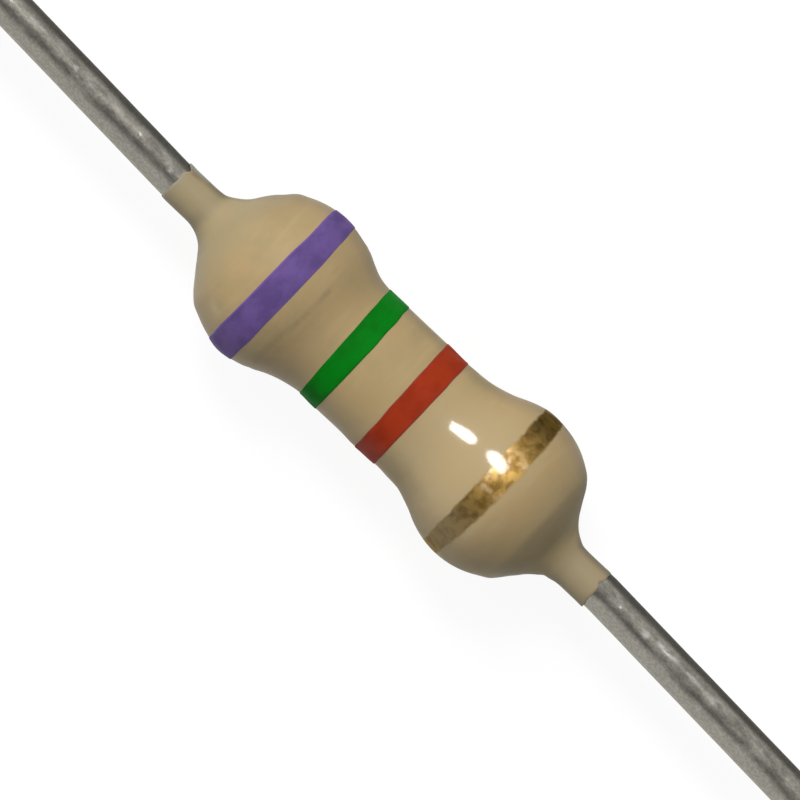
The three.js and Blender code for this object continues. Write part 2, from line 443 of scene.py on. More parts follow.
def startMaterial(name, onSolid=False, **plain):
    # a new material with its shader, and the place of each point in millimetres
    material = bpy.data.materials.new(name)
    material.use_nodes = True
    tree = material.node_tree
    shader = tree.nodes["Principled BSDF"]
    for socket, value in plain.items():
        shader.inputs[socket].default_value = value
    if onSolid:
        source = addNode(tree, "ShaderNodeTexCoord").outputs["Object"]
        values = {0: source, "Scale": 1 / mm}
        place = addNode(tree, "ShaderNodeVectorMath", values, operation="SCALE").outputs[0]
    else:
        place = addNode(tree, "ShaderNodeAttribute", attribute_name="straightPlace").outputs["Vector"]
    return material, tree, shader.inputs, place


def edgeDistance(tree):
    # 0 at the edges of a painted band and 1 along its middle
    return addNode(tree, "ShaderNodeAttribute", attribute_name="edgeShare").outputs["Fac"]


def addBump(tree, height, depth, shaderInputs):
    # depth is in millimetres
    bump = addNode(tree, "ShaderNodeBump", {"Height": height, "Distance": depth * mm, "Strength": 1.0})
    plug(tree, bump.outputs[0], shaderInputs["Normal"])


print("outline, mesh and shader helpers are ready")


# lacquer

lacquer = {
    "tone": (0.45, 0.328, 0.162, 1),
    "cloud": (0.405, 0.31, 0.16, 1),      # a faint grey-green cast in patches
    "blush": (0.457, 0.325, 0.162, 1),    # a faint warm cast in small patches
    "streak": (0.475, 0.348, 0.178, 1),   # rings left by turning while it dried
    "wet": (0.42, 0.302, 0.128, 1),       # deeper where it dried glossy
    "noseTone": (0.395, 0.315, 0.175, 1),
    "neckTone": (0.375, 0.302, 0.18, 1),  # thin over the bright wire
    "lipTone": (0.3, 0.29, 0.23, 1),      # the raised lip on the left neck
    "lipShadowTone": (0.25, 0.17, 0.1, 1),      # painted shadow, brown where the lip parts from the neck
    "lipShadow": {"place": -3.72, "reach": 0.16, "side": 0.76, "width": 0.17, "share": 0.65},
    "greyTone": (0.31, 0.29, 0.23, 1),    # a greyer tone: a painted cooler cast round on the -Y side, and the thin lacquer at the left rim
    # how much each flank changes, painted shade at +Y and a painted greyer cast at -Y: where it starts, where
    # it is full, share
    "flanks": {
        "body": (0.8, 1.0, 0.42),
        "neck": (0.62, 0.98, 0.75),
        "grey": (-0.5, -1.0, 0.35),
    },
    # the dark tone of the painted shade, and of the staining
    "rootTone": (0.17, 0.14, 0.085, 1),
    # the pale tone of a painted reflection on the left bulb
    "reflectionTone": (0.62, 0.54, 0.38, 1),
    # darker stretches, part painted shade at the neck roots and on slopes turned from the light, part
    # staining:
    # place along, reach, and how strong on the -Y side, at the top and on the +Y side
    "stainsAndShade": [(-3.3, 0.15, 0.35, 0.14, 0.2), (2.84, 0.4, 0.36, 0.42, 0.4), (-2.65, 0.4, 0.0, 0.0, 0.22),
               (-1.6, 0.4, 0.12, 0.0, 0.0), (-1.08, 0.5, 0.2, 0.05, 0.18), (2.4, 0.35, 0.2, 0.05, 0.0)],
    # the painted reflection: place along, reach, place from -Y to +Y, half width, share
    "reflectionSpot": {"place": -2.33, "reach": 0.17, "side": -0.76, "width": 0.075, "share": 0.24},
    "rim": {"place": -3.85, "reach": 0.14, "side": 0.0, "width": 1.2, "share": 0.5},
    "roughness": (0.46, 0.58),
    "glossy": (0.35, 0.85, 1.95, 2.25),   # the lacquer dried glossy on this stretch, and dull beyond it
    "glossyTop": (0.6, 0.9),
    # where these parts start and are full, by distance from the middle
    "nose": (2.45, 2.95),
    "neck": (3.12, 3.28),
    "upper": (-0.4, 0.2),                 # from the underside to the top
    "lip": {"along": (-3.4, -3.72), "side": (0.8, 0.93)},
    "grooveLine": {"reach": 0.07, "fade": (0.55, 0.2), "share": (0.1, 0.34)},
}


def glossShare(tree, turned):
    start, full, fade, stop = lacquer["glossy"]
    rise = stepBetween(tree, turned["Along"], start, full)
    fall = stepBetween(tree, turned["Along"], stop, fade)
    upper = stepBetween(tree, turned["Top"], *lacquer["glossyTop"])
    return product(tree, rise, fall, upper)


def grooveShare(tree, turned, cloud):
    # painted shade in the groove: the dull line is broken, and fades out on the +Y side
    groove, drawn = coat["groove"], lacquer["grooveLine"]
    low = reckon(tree, "MINIMUM", turned["Side"], 0.0)
    place = reckon(tree, "MULTIPLY_ADD", low, groove["bend"], groove["place"])
    line = nearTo(tree, reckon(tree, "SUBTRACT", turned["Along"], place), 0.0, drawn["reach"])
    fade = stepBetween(tree, turned["Side"], *drawn["fade"])
    return product(tree, line, fade, stepBetween(tree, cloud, 0.0, 1.0, *drawn["share"]))


def stainAndShadeShare(tree, turned, stainAndShade):
    place, reach, low, top, high = stainAndShade
    lowPart = stepBetween(tree, turned["Side"], 0.1, -0.8, top, low)
    highPart = stepBetween(tree, turned["Side"], 0.2, 0.8, 0.0, high - top)
    return product(tree, nearTo(tree, turned["Along"], place, reach), reckon(tree, "ADD", lowPart, highPart))


def spotShare(tree, turned, spot):
    return product(tree, nearTo(tree, turned["Along"], spot["place"], spot["reach"]),
                   nearTo(tree, turned["Side"], spot["side"], spot["width"]), spot["share"])


def lacquerTones(tree, place):
    # the colour of the dried lacquer, how patchy it is and how glossy it is
    turned = placeGroup(tree, roundPlace, {"Place": place})
    distance = reckon(tree, "ABSOLUTE", turned["Along"])
    patches = placeGroup(tree, cloudyTone, {
        "Place": place, "Scale": 1.1, "Low": 0.42, "High": 0.66,
        "Tone": lacquer["tone"], "Cloud": lacquer["cloud"]})
    mottle = placeGroup(tree, cloudyTone, {
        "Place": place, "Scale": 3.4, "Detail": 3, "Low": 0.45, "High": 0.7,
        "Tone": patches["Colour"], "Cloud": lacquer["blush"]})
    rings = placeGroup(tree, cloudyTone, {
        "Place": place, "Stretch": (4, 0.8, 0.8), "Scale": 1.3, "Detail": 3,
        "Low": 0.45, "High": 0.75, "Tone": mottle["Colour"], "Cloud": lacquer["streak"]})
    gloss = glossShare(tree, turned)
    body = mixTones(tree, gloss, rings["Colour"], lacquer["wet"])
    body = mixTones(tree, stepBetween(tree, distance, *lacquer["nose"]), body, lacquer["noseTone"])
    # painted shade along the groove
    body = mixTones(tree, grooveShare(tree, turned, mottle["Mask"]), body, lacquer["rootTone"])
    onNeck = stepBetween(tree, distance, *lacquer["neck"])
    body = mixTones(tree, onNeck, body, lacquer["neckTone"])
    # painted shade and staining in darker stretches along the body
    for stainAndShade in lacquer["stainsAndShade"]:
        body = mixTones(tree, stainAndShadeShare(tree, turned, stainAndShade), body, lacquer["rootTone"])
    # painted shade on the +Y flank of the body and necks, and a painted greyer cast on the -Y side
    flanks = {}
    for flank, (start, full, share) in lacquer["flanks"].items():
        flanks[flank] = stepBetween(tree, turned["Side"], start, full, 0.0, share)
    body = mixTones(tree, flanks["grey"], body, lacquer["greyTone"])
    body = mixTones(tree, flanks["body"], body, lacquer["rootTone"])
    upper = stepBetween(tree, turned["Top"], *lacquer["upper"])
    body = mixTones(tree, product(tree, onNeck, upper, flanks["neck"]), body, lacquer["rootTone"])
    lipAlong = stepBetween(tree, turned["Along"], *lacquer["lip"]["along"])
    lipSide = stepBetween(tree, turned["Side"], *lacquer["lip"]["side"])
    body = mixTones(tree, product(tree, lipAlong, lipSide, upper), body, lacquer["lipTone"])
    # painted shadow under the lip
    inLipShadow = product(tree, spotShare(tree, turned, lacquer["lipShadow"]), upper)
    body = mixTones(tree, inLipShadow, body, lacquer["lipShadowTone"])
    # painted reflection on the left bulb's -Y side
    body = mixTones(tree, spotShare(tree, turned, lacquer["reflectionSpot"]), body, lacquer["reflectionTone"])
    body = mixTones(tree, spotShare(tree, turned, lacquer["rim"]), body, lacquer["greyTone"])
    return body, patches["Mask"], gloss


def lacquerMaterial():
    material, tree, shader, place = startMaterial("beigeLacquer", **{
        "IOR": 1.5, "Specular IOR Level": 0.13, "Coat Roughness": 0.11, "Coat IOR": 1.69})
    body, patchy, gloss = lacquerTones(tree, place)
    plug(tree, body, shader["Base Color"])
    plug(tree, stepBetween(tree, patchy, 0, 1, *lacquer["roughness"]), shader["Roughness"])
    plug(tree, gloss, shader["Coat Weight"])
    peel = addNode(tree, "ShaderNodeTexNoise", {"Vector": place, "Scale": 5.0, "Detail": 3.0})
    addBump(tree, peel.outputs[0], 0.006, shader)
    return material


def coatRings():
    # outside from the left rim to the right rim, then back along the inside
    turn = np.arange(coat["around"]) * 2 * math.pi / coat["around"]
    rings = []
    rimShape, fraying = coat["rim"], coat["fray"]
    frays = {}
    for side, way in sides.items():
        frays[side] = makeWaves(fraying["seed"] + way, fraying["waves"], 0.5, 1.0, 9)

    def frayed(side, distance, radius, share, outside=1.0):
        # share is 0 where the rim's unevenness starts and 1 at the rim itself
        shape = coat[side]
        lip = hump(turnFrom(turn, shape["lipAngle"]), 0, rimShape["lipSpread"])
        notch = hump(turnFrom(turn, shape["notchAngle"]), 0, shape["notchSpread"])
        fray = fraying["height"] * waveHeight(frays[side], 0.0, turn) + shape["lipReach"] * lip
        full, notched = share ** rimShape["pace"], share ** rimShape["notchPace"]
        reach = distance + full * fray - notched * shape["notch"] * notch
        thickness = shape["neck"] - wire["radius"]
        drawn = rimShape["drawnIn"] * (1 - lip) * thickness * share ** rimShape["drawnPace"]
        lift = shape["lipLift"] * lip - drawn
        settled = 1 - rimShape["settling"] * full
        aside = wireShift(side, reach) + settled * shape["neckShift"] * outside
        return ringOf(sides[side] * reach, radius + full * lift, turn, aside)

    def rim(side):
        # a rounded rim in three steps: place, radius, how much it still follows the outside's shift
        edge = neckEnd - coat[side]["shortNeck"]
        high, low = coat[side]["neck"], wire["radius"] + coat["snug"]
        first, second, third = rimShape["roll"]
        steps = [
            (edge + first, high - first, 1),
            (edge + second, (high + low) / 2, 0.5),
            (edge + third, low, 0),
        ]
        return [frayed(side, distance, radius, 1, outside) for distance, radius, outside in steps]

    for along, radius in outline:
        side = "left" if along < 0 else "right"
        edge = neckEnd - coat[side]["shortNeck"]
        if abs(along) > edge - rimShape["reach"]:
            share = np.clip((abs(along) - edge + rimShape["reach"]) / rimShape["reach"], 0, 1)
            rings.append(frayed(side, abs(along), coatRadius(along, turn), share))
        else:
            rings.append(ringOf(along, coatRadius(along, turn), turn, noseShift(along, radius)))
    rings += rim("right")
    rings += [ringOf(along, radius, turn, shift) for along, radius, shift in insideOutline("right")[::-1]]
    rings += [ringOf(-along, radius, turn, shift) for along, radius, shift in insideOutline("left")]
    rings += rim("left")[::-1]
    return rings


# distances along the lacquer's inside, and the radius of its corner round the cap
inside = {
    "middle": 0.02, "lipBevel": 0.04, "corner": 0.212, "cornerIn": 0.2,
    "weld": 0.07, "afterWeld": 0.2, "flare": 0.01, "wireStart": 3.2, "wireStop": 0.25,
}


def insideOutline(side):
    # the lacquer's inside from the film to the neck: it follows the film, the cap, the weld and the wire
    capLow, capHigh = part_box("end_cap_" + side)
    capNear, capFar = sorted((abs(capLow.x) / mm, abs(capHigh.x) / mm))
    capRadius = capHigh.z / mm / flatShare + coat["room"]
    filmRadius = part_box("carbon_film")[1].z / mm / flatShare + coat["room"]
    offset = wire["offset"][side] + wire["drift"]
    snug = wire["radius"] + coat["snug"]
    weld = wire["weldRadius"] + coat["room"]
    steps = [
        (inside["middle"], filmRadius, 0),
        (capNear - coat["room"], filmRadius, 0),
        (capNear - coat["room"], capRadius - inside["lipBevel"], 0),
        (capNear + inside["lipBevel"], capRadius, 0),
    ]
    centre = (capFar - inside["cornerIn"], capRadius - inside["corner"])
    corner = arcPoints(centre, inside["corner"], math.pi / 2, 0, 7)
    steps += [(along, radius, 0) for along, radius in corner]
    steps += [
        (capFar + coat["room"], weld, offset),
        (capFar + inside["weld"], weld, offset),
        (capFar + inside["afterWeld"], snug + inside["flare"], offset),
        (inside["wireStart"], snug, offset),
        (neckEnd - inside["wireStop"], snug, offset),
    ]
    return steps


coating = skinOver("lacquer_body", coatRings(), True)
settle(coating, lacquerMaterial(), "coating")
print("lacquer body is made")


# painted bands

# for each edge, left then right: a nudge, a tilt in degrees and how far it draws in at the sides;
# the side tone is what the paint turns to on the -Y side: painted shade on the green, a painted greyer cast
# on the others
paints = {
    "band_violet": {"slot": "violet_paint", "height": 0.008, "feather": 0.02, "wobble": 0.004, "seed": 3,
                    "nudge": (-0.012, 0.0), "tilt": (1.25, 0.1), "drawn": (0.0, -0.03),
                    "tone": (0.158, 0.095, 0.296, 1), "cloud": (0.116, 0.071, 0.224, 1),
                    "edge": (0.2, 0.125, 0.38, 1), "edgeShare": 0.6,
                    "sideTone": (0.24, 0.18, 0.34, 1), "sideShare": 0.3},
    "band_green": {"slot": "green_paint", "height": 0.008, "feather": 0.02, "wobble": 0.003, "seed": 4,
                   "nudge": (0.0, -0.023), "tilt": (-2.1, -0.4), "drawn": (0.006, -0.02),
                   "tone": (0.001, 0.2, 0.0075, 1), "cloud": (0.003, 0.16, 0.007, 1),
                   "edge": (0.003, 0.11, 0.006, 1), "edgeShare": 0.4,
                   "sideTone": (0.006, 0.09, 0.012, 1), "sideShare": 0.5},
    "band_red": {"slot": "red_paint", "height": 0.008, "feather": 0.02, "wobble": 0.003, "seed": 6,
                 "nudge": (0.0, -0.02), "tilt": (-1.2, 0.0), "drawn": (0.0, -0.004),
                 "tone": (0.365, 0.037, 0.01, 1), "cloud": (0.31, 0.03, 0.009, 1),
                 "edge": (0.2, 0.055, 0.06, 1), "edgeShare": 0.5,
                 "sideTone": (0.25, 0.09, 0.08, 1), "sideShare": 0.45},
    "band_gold": {"slot": "gold_paint", "height": 0.0, "feather": 1.0, "wobble": 0.004, "seed": 8,
                  "nudge": (-0.034, 0.022), "tilt": (0.0, 1.2), "drawn": (0.0, -0.07),
                  "tone": (0.42, 0.262, 0.075, 1), "cloud": (0.21, 0.122, 0.027, 1),
                  "flake": (0.4, 0.26, 0.09, 1), "glintFlake": (0.66, 0.48, 0.29, 1),
                  "edgeTint": (0.7, 0.6, 0.42, 1),
                  "glint": (0.13, 0.4),  # painted glint, where the flakes are drawn pale: place from -Y to +Y, and its half width
                  # painted sheen and shade: how bright the flakes are drawn, from the -Y side round to the +Y
                  # side
                  "sheen": [(-1.0, 0.42), (-0.7, 0.45), (-0.35, 0.47), (-0.17, 0.66), (0.0, 0.75),
                            (0.15, 0.88), (0.4, 0.95), (0.52, 0.72), (0.68, 0.52), (0.82, 0.22),
                            (1.0, 0.2)],
                  "greyCastTone": (0.185, 0.16, 0.11, 1), "dustAndGreyCast": 0.45,  # a painted greyer cast at the -Y side
                  "greyCastSide": (-0.25, -0.8), "greyCastTop": (0.0, 0.4),
                  "lowSheen": (0.78, 0.76, 0.7, 1), "lowStart": (0.3, -0.15),  # a painted sheen on the underside
                  # how much of the flakes is left round at the -Y side
                  "thinned": 0.92, "thinSide": (-0.35, -1.0),
                  "covered": (-0.06, 0.2), "metal": (0.2, 1.0, 0.0, 0.92), "roughness": (0.42, 0.52),
                  # the clear binder pooled on this patch: place from -Y to +Y, and its half width
                  "pool": (0.2, 0.24), "poolEnd": (1.95, 1.8)},
}
paintShape = {
    "step": 0.0012,
    "sunk": 0.006,
    "across": 18,
    "nearEdge": (0, 0.01, 0.025, 0.05, 0.08),  # rings close to one edge, as shares of the width
    "middle": (0.12, 0.88),
    "farEdge": (0.92, 0.95, 0.975, 0.99, 1),
    "under": (0.995, 0.75, 0.5, 0.25, 0.005),
    "waves": 12,
    "edgeFade": (0.16, 0.02),  # the edge tone, by distance from the edge
    "sideFade": (-0.6, -1.0),
    "roughness": (0.6, 0.72),
}


def bandMesh(name, paint):
    low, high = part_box(name)
    middle, half = (low.x + high.x) / 2 / mm, (high.x - low.x) / 2 / mm
    turn = np.arange(coat["around"]) * 2 * math.pi / coat["around"]
    wobble = [makeWaves(paint["seed"] + 20 * edge, paintShape["waves"], 0.5, 1.0, 14) for edge in (0, 1)]
    edges = []
    for i, way in enumerate((-1, 1)):
        slant = math.tan(math.radians(paint["tilt"][i])) * coatRadius(middle, turn) * np.sin(turn)
        uneven = paint["drawn"][i] * np.sin(turn) ** 2 + paint["wobble"] * waveHeight(wobble[i], 0.0, turn)
        edges.append(middle + way * half + paint["nudge"][i] + slant + uneven)
    rows, shares = [], []

    def addRow(across, height):
        # across runs from 0 at one edge to 1 at the other
        along = edges[0] + (edges[1] - edges[0]) * across
        radius = coatRadius(along, turn)
        rows.append(ringOf(along, radius + height, turn, noseShift(along, radius)))
        shares.extend([1 - abs(2 * across - 1)] * len(turn))

    middleRows = np.linspace(*paintShape["middle"], paintShape["across"])
    outside = np.concatenate([paintShape["nearEdge"], middleRows, paintShape["farEdge"]])
    for across in outside:
        fromEdge = min(across, 1 - across) * 2 * half
        feathered = 1 - min(fromEdge / paint["feather"], 1)
        addRow(across, paintShape["step"] + paint["height"] * math.sqrt(1 - feathered ** 2))
    for across in paintShape["under"]:
        addRow(across, -paintShape["sunk"])
    return skinOver(name + "_paint", rows, True, {"edgeShare": shares}, creases=(0, len(outside) - 1))


def paintMaterial(paint):
    material, tree, shader, place = startMaterial(paint["slot"], **{"IOR": 1.5, "Specular IOR Level": 0.05})
    body = placeGroup(tree, cloudyTone, {
        "Place": place, "Stretch": (1.5, 1, 1), "Scale": 3.0, "Low": 0.38, "High": 0.68,
        "Tone": paint["tone"], "Cloud": paint["cloud"]})
    edge = stepBetween(tree, edgeDistance(tree), *paintShape["edgeFade"])
    edge = reckon(tree, "MULTIPLY", edge, paint["edgeShare"])
    painted = mixTones(tree, edge, body["Colour"], paint["edge"])
    side = placeGroup(tree, roundPlace, {"Place": place})["Side"]
    # painted shade and a painted greyer cast on the -Y side
    aside = stepBetween(tree, side, *paintShape["sideFade"], 0.0, paint["sideShare"])
    plug(tree, mixTones(tree, aside, painted, paint["sideTone"]), shader["Base Color"])
    plug(tree, stepBetween(tree, body["Mask"], 0, 1, *paintShape["roughness"]), shader["Roughness"])
    grain = addNode(tree, "ShaderNodeTexNoise", {"Vector": place, "Scale": 14.0, "Detail": 2.0})
    addBump(tree, grain.outputs[0], 0.003, shader)
    return material


def goldMaterial(paint):
    # metal flakes in a clear binder, which thins out to bare lacquer at the edges
    material, tree, shader, place = startMaterial(paint["slot"], **{
        "Specular IOR Level": 0.2, "Specular Tint": paint["edgeTint"],
        "Coat Roughness": 0.11, "Coat IOR": 1.69})
    turned = placeGroup(tree, roundPlace, {"Place": place})
    body = placeGroup(tree, cloudyTone, {
        "Place": place, "Scale": 6.0, "Detail": 3, "Low": 0.38, "High": 0.64,
        "Tone": paint["tone"], "Cloud": paint["cloud"]})
    # painted glint: pale flakes only where the highlight falls
    glint = nearTo(tree, turned["Side"], *paint["glint"])
    flake = mixTones(tree, glint, paint["flake"], paint["glintFlake"])
    flakes = placeGroup(tree, cloudyTone, {
        "Place": place, "Scale": 5.4, "Detail": 2, "Low": 0.47, "High": 0.72,
        "Tone": body["Colour"], "Cloud": flake})
    # painted sheen and shade by side, with a painted sheen on the underside
    sheen = rampOf(tree, reckon(tree, "MULTIPLY_ADD", turned["Side"], 0.5), paint["sheen"], (1, 1, 1))
    low = stepBetween(tree, turned["Top"], *paint["lowStart"])
    sheen = mixTones(tree, low, sheen, paint["lowSheen"])
    shaded = mixTones(tree, 1.0, flakes["Colour"], sheen, "MULTIPLY")
    # a painted greyer cast on the -Y side, fading on the underside
    dustAndGreyCast = product(tree, stepBetween(tree, turned["Side"], *paint["greyCastSide"], 0.0, paint["dustAndGreyCast"]),
                   stepBetween(tree, turned["Top"], *paint["greyCastTop"]))
    shaded = mixTones(tree, dustAndGreyCast, shaded, paint["greyCastTone"])
    bare, _, gloss = lacquerTones(tree, place)
    ragged = reckon(tree, "MULTIPLY_ADD", body["Mask"], -0.1, edgeDistance(tree))
    thin = stepBetween(tree, turned["Side"], *paint["thinSide"], 1.0, paint["thinned"])
    covered = product(tree, stepBetween(tree, ragged, *paint["covered"]), thin)
    plug(tree, mixTones(tree, covered, bare, shaded), shader["Base Color"])
    plug(tree, stepBetween(tree, body["Mask"], 0, 1, *paint["roughness"]), shader["Roughness"])
    plug(tree, stepBetween(tree, covered, *paint["metal"]), shader["Metallic"])
    pool = product(tree, nearTo(tree, turned["Side"], *paint["pool"]),
                   stepBetween(tree, turned["Along"], *paint["poolEnd"]))
    plug(tree, stepBetween(tree, covered, 0.0, 1.0, gloss, pool), shader["Coat Weight"])
    grain = addNode(tree, "ShaderNodeTexNoise", {"Vector": place, "Scale": 3.0, "Detail": 2.0})
    addBump(tree, grain.outputs[0], 0.003, shader)
    return material


for bandName, paint in paints.items():
    band = bandMesh(bandName, paint)
    finish = goldMaterial(paint) if bandName == "band_gold" else paintMaterial(paint)
    settle(band, finish, bandName)
print("four bands are painted")


# wires

tin = {
    # painted reflection: how bright the tin is drawn from the -Y side round to the +Y side, with the room's
    # dark and pale stripes painted in, with a dark streak along the middle and without it
    "darkStreaked": [(-1.0, 0.4), (-0.84, 0.29), (-0.51, 0.275), (-0.4, 0.205), (-0.31, 0.13), (-0.22, 0.09),
               (-0.12, 0.1), (-0.02, 0.12), (0.07, 0.125), (0.16, 0.135), (0.26, 0.16), (0.36, 0.182),
               (0.5, 0.215), (0.58, 0.205), (0.66, 0.145), (0.73, 0.09), (0.8, 0.075), (1.0, 0.07)],
    "plain": [(-1.0, 0.4), (-0.84, 0.29), (-0.51, 0.265), (-0.35, 0.205), (-0.2, 0.155), (-0.05, 0.142),
              (0.1, 0.14), (0.26, 0.16), (0.36, 0.182), (0.5, 0.215), (0.58, 0.205), (0.66, 0.145),
              (0.73, 0.09), (0.8, 0.075), (1.0, 0.07)],
    "warmth": (1.045, 1.0, 0.87),
    "under": (0.25, 0.24, 0.21, 1),  # the underside is evenly grey
    # the colour of the painted glints
    "glintTone": (0.55, 0.54, 0.5, 1),
    "darkStreakFade": (4.05, 4.6),       # the painted dark streak is whole up to the first, and broken past the second
    "edgeTint": (0.62, 0.62, 0.58, 1),
    # painted glints where the light catches the tin: place along, reach, place from -Y to +Y, half width,
    # strength
    "glintStreaks": [
        (5.04, 0.26, 0.33, 0.17, 0.8), (5.5, 0.25, 0.33, 0.14, 0.45), (4.66, 0.09, 0.12, 0.4, 0.3),
        (5.95, 0.3, 0.34, 0.3, 0.3), (-5.81, 0.055, 0.26, 0.16, 0.95), (-6.45, 0.35, 0.4, 0.16, 0.2),
        (-4.97, 0.25, 0.4, 0.3, 0.15), (-3.99, 0.07, 0.08, 0.2, 0.5),
    ],
    "roughness": (0.3, 0.46),
    "loose": (0.85, 0.3), "wander": 0.09,   # where the stripes wander, and how far
    "underStart": (0.0, -0.3),
    "glint": (0.28, 0.4), "glintShare": 0.6,  # where the painted glints show, and how much
}


def wireMesh(side):
    distance = wireEnds[side][0]
    turn = np.arange(wire["around"]) * 2 * math.pi / wire["around"]
    radius, fillet = wire["radius"], wire["weldFillet"]
    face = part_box("lead_wire_" + side)
    start = min(abs(face[0].x), abs(face[1].x)) / mm
    rimEnd = start + wire["weldRim"]
    steps = [(start, size) for size in wire["weldRings"]]
    steps += [(start, wire["weldRadius"]), (rimEnd, wire["weldRadius"])]
    collar = arcPoints((rimEnd + fillet, radius + fillet), fillet, math.pi, 1.5 * math.pi, 7)
    steps += [tuple(point) for point in collar[1:]]
    pastWeld, fineEnd, apart = wire["fine"]
    near = np.arange(start + pastWeld, fineEnd, apart)
    far = np.linspace(fineEnd, distance - wire["bevel"], wire["farRings"])
    steps += [(along, radius) for along in np.concatenate([near, far])]
    steps.append((distance, radius - wire["bevel"]))
    steps += [(distance, radius * share) for share in wire["endRings"]]
    dents = makeWaves(wire["dentSeed"] + sides[side], 26, 0.25, 2.2, 5)
    rings = []
    for along, size in steps:
        dented = size
        if size == radius and along > wire["dentStart"]:
            dented = size - wire["dent"] * np.maximum(waveHeight(dents, along, turn), 0)
        rings.append(ringOf(sides[side] * along, dented, turn, wireShift(side, along)))
    if side == "left":
        rings = rings[::-1]
    return skinOver("wire_" + side, rings, False)


def tinMaterial():
    material, tree, shader, place = startMaterial("tinnedCopper", **{
        "Metallic": 1.0, "Specular Tint": tin["edgeTint"]})
    turned = placeGroup(tree, roundPlace, {"Place": place})
    side = turned["Side"]
    drift = placeGroup(tree, cloudyTone, {
        "Place": place, "Stretch": (0.5, 1, 1), "Scale": 2.2, "Detail": 3, "Low": 0.25, "High": 0.75})
    # the stripes wander a little along the wire, but not at its edges
    loose = stepBetween(tree, reckon(tree, "ABSOLUTE", side), *tin["loose"])
    wander = stepBetween(tree, drift["Mask"], 0, 1, -tin["wander"], tin["wander"])
    moved = reckon(tree, "ADD", side, product(tree, loose, wander))
    around = reckon(tree, "MULTIPLY_ADD", moved, 0.5)
    streakBreaks = placeGroup(tree, cloudyTone, {
        "Place": place, "Stretch": (1, 0.3, 0.3), "Scale": 1.7, "Detail": 3, "Low": 0.48, "High": 0.66})
    distance = reckon(tree, "ABSOLUTE", turned["Along"])
    streakBroken = product(tree, streakBreaks["Mask"], stepBetween(tree, distance, *tin["darkStreakFade"]))
    # painted reflection by side, with and without the dark streak
    zones = mixTones(tree, streakBroken, rampOf(tree, around, tin["darkStreaked"], tin["warmth"]),
                     rampOf(tree, around, tin["plain"], tin["warmth"]))
    zones = mixTones(tree, stepBetween(tree, turned["Top"], *tin["underStart"]), zones, tin["under"])
    upper = stepBetween(tree, side, -0.45, 0.0)
    blotches = placeGroup(tree, cloudyTone, {
        "Place": place, "Stretch": (0.5, 1, 1), "Scale": 8.0, "Detail": 4, "Low": 0.3, "High": 0.72,
        "Tone": (0.86, 0.86, 0.85, 1), "Cloud": (1.15, 1.15, 1.15, 1)})
    grain = placeGroup(tree, cloudyTone, {
        "Place": place, "Stretch": (0.7, 1, 1), "Scale": 34.0, "Detail": 2, "Low": 0.34, "High": 0.66,
        "Tone": (0.87, 0.87, 0.87, 1), "Cloud": (1.13, 1.13, 1.13, 1)})
    body = mixTones(tree, stepBetween(tree, upper, 0, 1, 0.45, 1.0), zones,
                    mixTones(tree, 1.0, zones, blotches["Colour"], "MULTIPLY"))
    body = mixTones(tree, 1.0, body, grain["Colour"], "MULTIPLY")
    # painted glints: bright specks and streaks where the light catches the tin
    glintSpecks = placeGroup(tree, scatteredFlecks, {
        "Place": place, "Stretch": (0.7, 1, 1), "Scale": 13.0, "Share": 0.07, "Size": 0.34})
    lit = product(tree, glintSpecks["Mask"], nearTo(tree, side, *tin["glint"]), tin["glintShare"])
    ragged = stepBetween(tree, blotches["Mask"], 0.1, 0.6, 0.25, 1.0)
    for along, reach, level, width, strength in tin["glintStreaks"]:
        spot = product(tree, nearTo(tree, turned["Along"], along, reach), nearTo(tree, side, level, width))
        lit = reckon(tree, "MAXIMUM", lit, product(tree, spot, ragged, strength))
    plug(tree, mixTones(tree, lit, body, tin["glintTone"]), shader["Base Color"])
    plug(tree, stepBetween(tree, blotches["Mask"], 0, 1, *tin["roughness"]), shader["Roughness"])
    scratches = addNode(tree, "ShaderNodeTexNoise", {
        "Vector": stretchedBy(tree, place, (2.6, 5, 5)), "Scale": 2.0, "Detail": 4.0})
    addBump(tree, scratches.outputs[0], 0.006, shader)
    return material


tinned = tinMaterial()
for side in sides:
    settle(wireMesh(side), tinned, "lead_wire_" + side)
print("both wires are drawn")


# what the lacquer hides: the solids stay, with their own finishes

def ceramicMaterial():
    material, tree, shader, place = startMaterial("paleCeramic", onSolid=True, **{"Specular IOR Level": 0.3})
    body = placeGroup(tree, cloudyTone, {
        "Place": place, "Scale": 9.0, "Low": 0.4, "High": 0.7,
        "Tone": (0.78, 0.75, 0.67, 1), "Cloud": (0.66, 0.62, 0.53, 1)})
    plug(tree, body["Colour"], shader["Base Color"])
    plug(tree, stepBetween(tree, body["Mask"], 0, 1, 0.65, 0.8), shader["Roughness"])
    addBump(tree, body["Mask"], 0.003, shader)
    return material


def carbonMaterial():
    material, tree, shader, place = startMaterial("carbonFilm", onSolid=True, **{"Specular IOR Level": 0.4})
    body = placeGroup(tree, cloudyTone, {
        "Place": place, "Scale": 5.0, "Low": 0.35, "High": 0.7,
        "Tone": (0.022, 0.02, 0.019, 1), "Cloud": (0.05, 0.046, 0.042, 1)})
    dustAndGreyCast = placeGroup(tree, scatteredFlecks, {"Place": place, "Scale": 14.0, "Share": 0.08, "Size": 0.3})
    plug(tree, mixTones(tree, dustAndGreyCast["Mask"], body["Colour"], (0.14, 0.13, 0.12, 1)), shader["Base Color"])
    plug(tree, stepBetween(tree, body["Mask"], 0, 1, 0.35, 0.6), shader["Roughness"])
    return material


